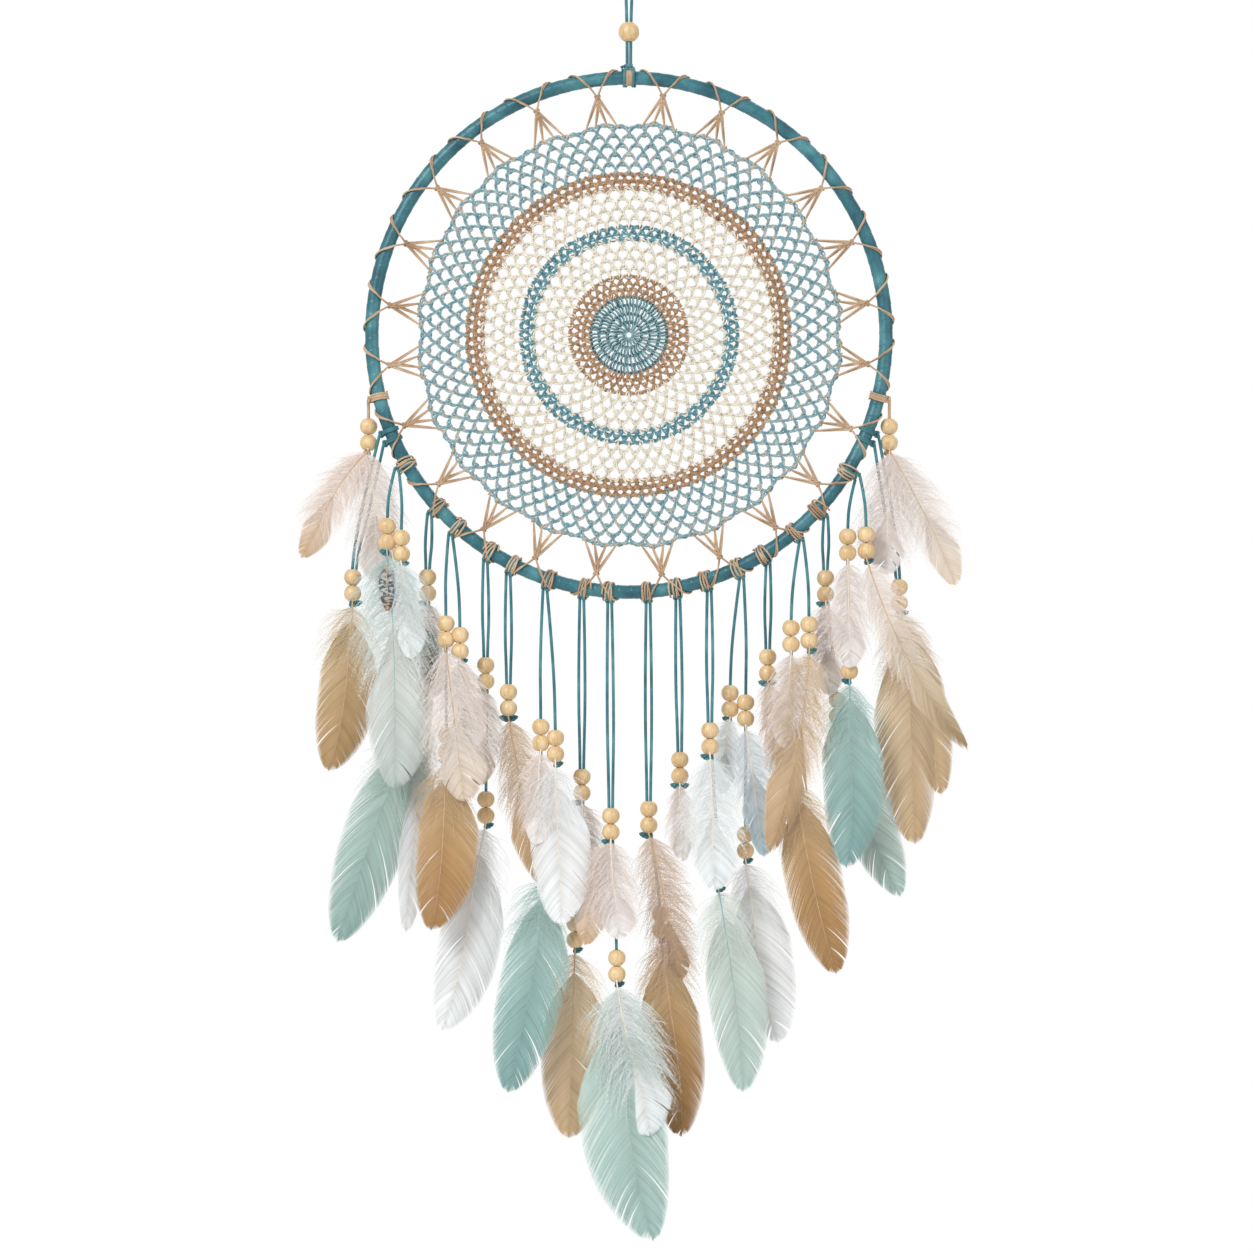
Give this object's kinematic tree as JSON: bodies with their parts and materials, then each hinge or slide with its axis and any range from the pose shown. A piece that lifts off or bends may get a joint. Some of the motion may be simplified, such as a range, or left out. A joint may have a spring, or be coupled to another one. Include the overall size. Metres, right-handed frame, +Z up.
{
  "type": "dream catcher",
  "caption": "Wrapped hoop with a round crocheted web laced inside it, hanging from a looped cord, with strands of wooden beads and dyed feathers below.",
  "frame": {"origin": "top of the inside of the hanging loop, where a nail or hook carries the part", "axes": "+Z up along the hanging cord, front towards -Y, +X to the right seen from the front"},
  "size_m": [0.3819, 0.0286, 0.7511],
  "materials": {
    "ring_steel": "satin",
    "teal_wrap": "matte",
    "teal_cord": "matte",
    "tan_cord": "matte",
    "web_yarn": "matte",
    "wood_bead": "satin",
    "feather_white": "soft",
    "feather_tan": "soft",
    "feather_aqua": "soft"
  },
  "bodies": {
    "hanging_cord": {"hanging_loop": "teal_cord"},
    "top_bead": {"hanging_bead": "wood_bead"},
    "hoop": {"hoop_ring": "ring_steel", "hoop_wrap": "teal_wrap", "web": "web_yarn", "web_lacing": "tan_cord"},
    "pendant_01": {"strand_01": "teal_cord", "beads_01": "wood_bead", "feathers_01": "feather_tan"},
    "pendant_02": {"strand_02": "teal_cord", "beads_02": "wood_bead", "feathers_02": "feather_aqua"},
    "pendant_03": {"strand_03": "teal_cord", "beads_03": "wood_bead", "feathers_03": "feather_aqua"},
    "pendant_04": {"strand_04": "teal_cord", "beads_04": "wood_bead", "feathers_04": "feather_white"},
    "pendant_05": {"strand_05": "teal_cord", "beads_05": "wood_bead", "feathers_05": "feather_white"},
    "pendant_06": {"strand_06": "teal_cord", "beads_06": "wood_bead", "feathers_06": "feather_tan"},
    "pendant_07": {"strand_07": "teal_cord", "beads_07": "wood_bead", "feathers_07": "feather_white"},
    "pendant_08": {"strand_08": "teal_cord", "beads_08": "wood_bead", "feathers_08": "feather_tan"},
    "pendant_09": {"strand_09": "teal_cord", "beads_09": "wood_bead", "feathers_09": "feather_aqua"},
    "pendant_10": {"strand_10": "teal_cord", "beads_10": "wood_bead", "feathers_10": "feather_tan"},
    "pendant_11": {"strand_11": "teal_cord", "beads_11": "wood_bead", "feathers_11": "feather_white"},
    "pendant_12": {"strand_12": "teal_cord", "beads_12": "wood_bead", "feathers_12": "feather_white"},
    "pendant_13": {"strand_13": "teal_cord", "beads_13": "wood_bead", "feathers_13": "feather_white"},
    "pendant_14": {"strand_14": "teal_cord", "beads_14": "wood_bead", "feathers_14": "feather_tan"},
    "pendant_15": {"strand_15": "teal_cord", "beads_15": "wood_bead", "feathers_15": "feather_tan"},
    "pendant_16": {"strand_16": "teal_cord", "beads_16": "wood_bead", "feathers_16": "feather_aqua"},
    "pendant_17": {"strand_17": "teal_cord", "beads_17": "wood_bead", "feathers_17": "feather_aqua"},
    "pendant_18": {"strand_18": "teal_cord", "beads_18": "wood_bead", "feathers_18": "feather_tan"}
  },
  "joints": [
    {"name": "bead_slide", "type": "slide", "parent": "hanging_cord", "child": "top_bead", "axis": [0, 0, 1], "range_m": [-0.012, 0.012]},
    {"name": "hoop_turn", "type": "hinge", "parent": "hanging_cord", "child": "hoop", "pos_m": [0, 0, -0.0806], "axis": [0, 0, 1], "range_deg": [-180, 180]},
    {"name": "swing_01", "type": "hinge", "parent": "hoop", "child": "pendant_01", "pos_m": [-0.14904, 0, -0.27916], "axis": [1, 0, 0], "range_deg": [0, 15]},
    {"name": "swing_02", "type": "hinge", "parent": "hoop", "child": "pendant_02", "pos_m": [-0.13248, 0, -0.30973], "axis": [-1, 0, 0], "range_deg": [0, 30]},
    {"name": "swing_03", "type": "hinge", "parent": "hoop", "child": "pendant_03", "pos_m": [-0.11397, 0, -0.33498], "axis": [1, 0, 0], "range_deg": [0, 30]},
    {"name": "swing_04", "type": "hinge", "parent": "hoop", "child": "pendant_04", "pos_m": [-0.10198, 0, -0.34686], "axis": [-1, 0, 0], "range_deg": [0, 30]},
    {"name": "swing_05", "type": "hinge", "parent": "hoop", "child": "pendant_05", "pos_m": [-0.08208, 0, -0.36183], "axis": [1, 0, 0], "range_deg": [0, 30]},
    {"name": "swing_06", "type": "hinge", "parent": "hoop", "child": "pendant_06", "pos_m": [-0.06902, 0, -0.36922], "axis": [1, 0, 0], "range_deg": [0, 30]},
    {"name": "swing_07", "type": "hinge", "parent": "hoop", "child": "pendant_07", "pos_m": [-0.04797, 0, -0.37792], "axis": [-1, 0, 0], "range_deg": [0, 30]},
    {"name": "swing_08", "type": "hinge", "parent": "hoop", "child": "pendant_08", "pos_m": [-0.02694, 0, -0.38322], "axis": [1, 0, 0], "range_deg": [0, 30]},
    {"name": "swing_09", "type": "hinge", "parent": "hoop", "child": "pendant_09", "pos_m": [-0.01098, 0, -0.38521], "axis": [-1, 0, 0], "range_deg": [0, 30]},
    {"name": "swing_10", "type": "hinge", "parent": "hoop", "child": "pendant_10", "pos_m": [0.01098, 0, -0.38521], "axis": [1, 0, 0], "range_deg": [0, 30]},
    {"name": "swing_11", "type": "hinge", "parent": "hoop", "child": "pendant_11", "pos_m": [0.02799, 0, -0.38303], "axis": [1, 0, 0], "range_deg": [0, 30]},
    {"name": "swing_12", "type": "hinge", "parent": "hoop", "child": "pendant_12", "pos_m": [0.04593, 0, -0.37857], "axis": [-1, 0, 0], "range_deg": [0, 30]},
    {"name": "swing_13", "type": "hinge", "parent": "hoop", "child": "pendant_13", "pos_m": [0.06443, 0, -0.37143], "axis": [1, 0, 0], "range_deg": [0, 30]},
    {"name": "swing_14", "type": "hinge", "parent": "hoop", "child": "pendant_14", "pos_m": [0.07957, 0, -0.36338], "axis": [1, 0, 0], "range_deg": [0, 30]},
    {"name": "swing_15", "type": "hinge", "parent": "hoop", "child": "pendant_15", "pos_m": [0.09853, 0, -0.34984], "axis": [-1, 0, 0], "range_deg": [0, 30]},
    {"name": "swing_16", "type": "hinge", "parent": "hoop", "child": "pendant_16", "pos_m": [0.11252, 0, -0.33656], "axis": [1, 0, 0], "range_deg": [0, 30]},
    {"name": "swing_17", "type": "hinge", "parent": "hoop", "child": "pendant_17", "pos_m": [0.13054, 0, -0.31294], "axis": [-1, 0, 0], "range_deg": [0, 30]},
    {"name": "swing_18", "type": "hinge", "parent": "hoop", "child": "pendant_18", "pos_m": [0.14904, 0, -0.27916], "axis": [1, 0, 0], "range_deg": [0, 15]}
  ]
}
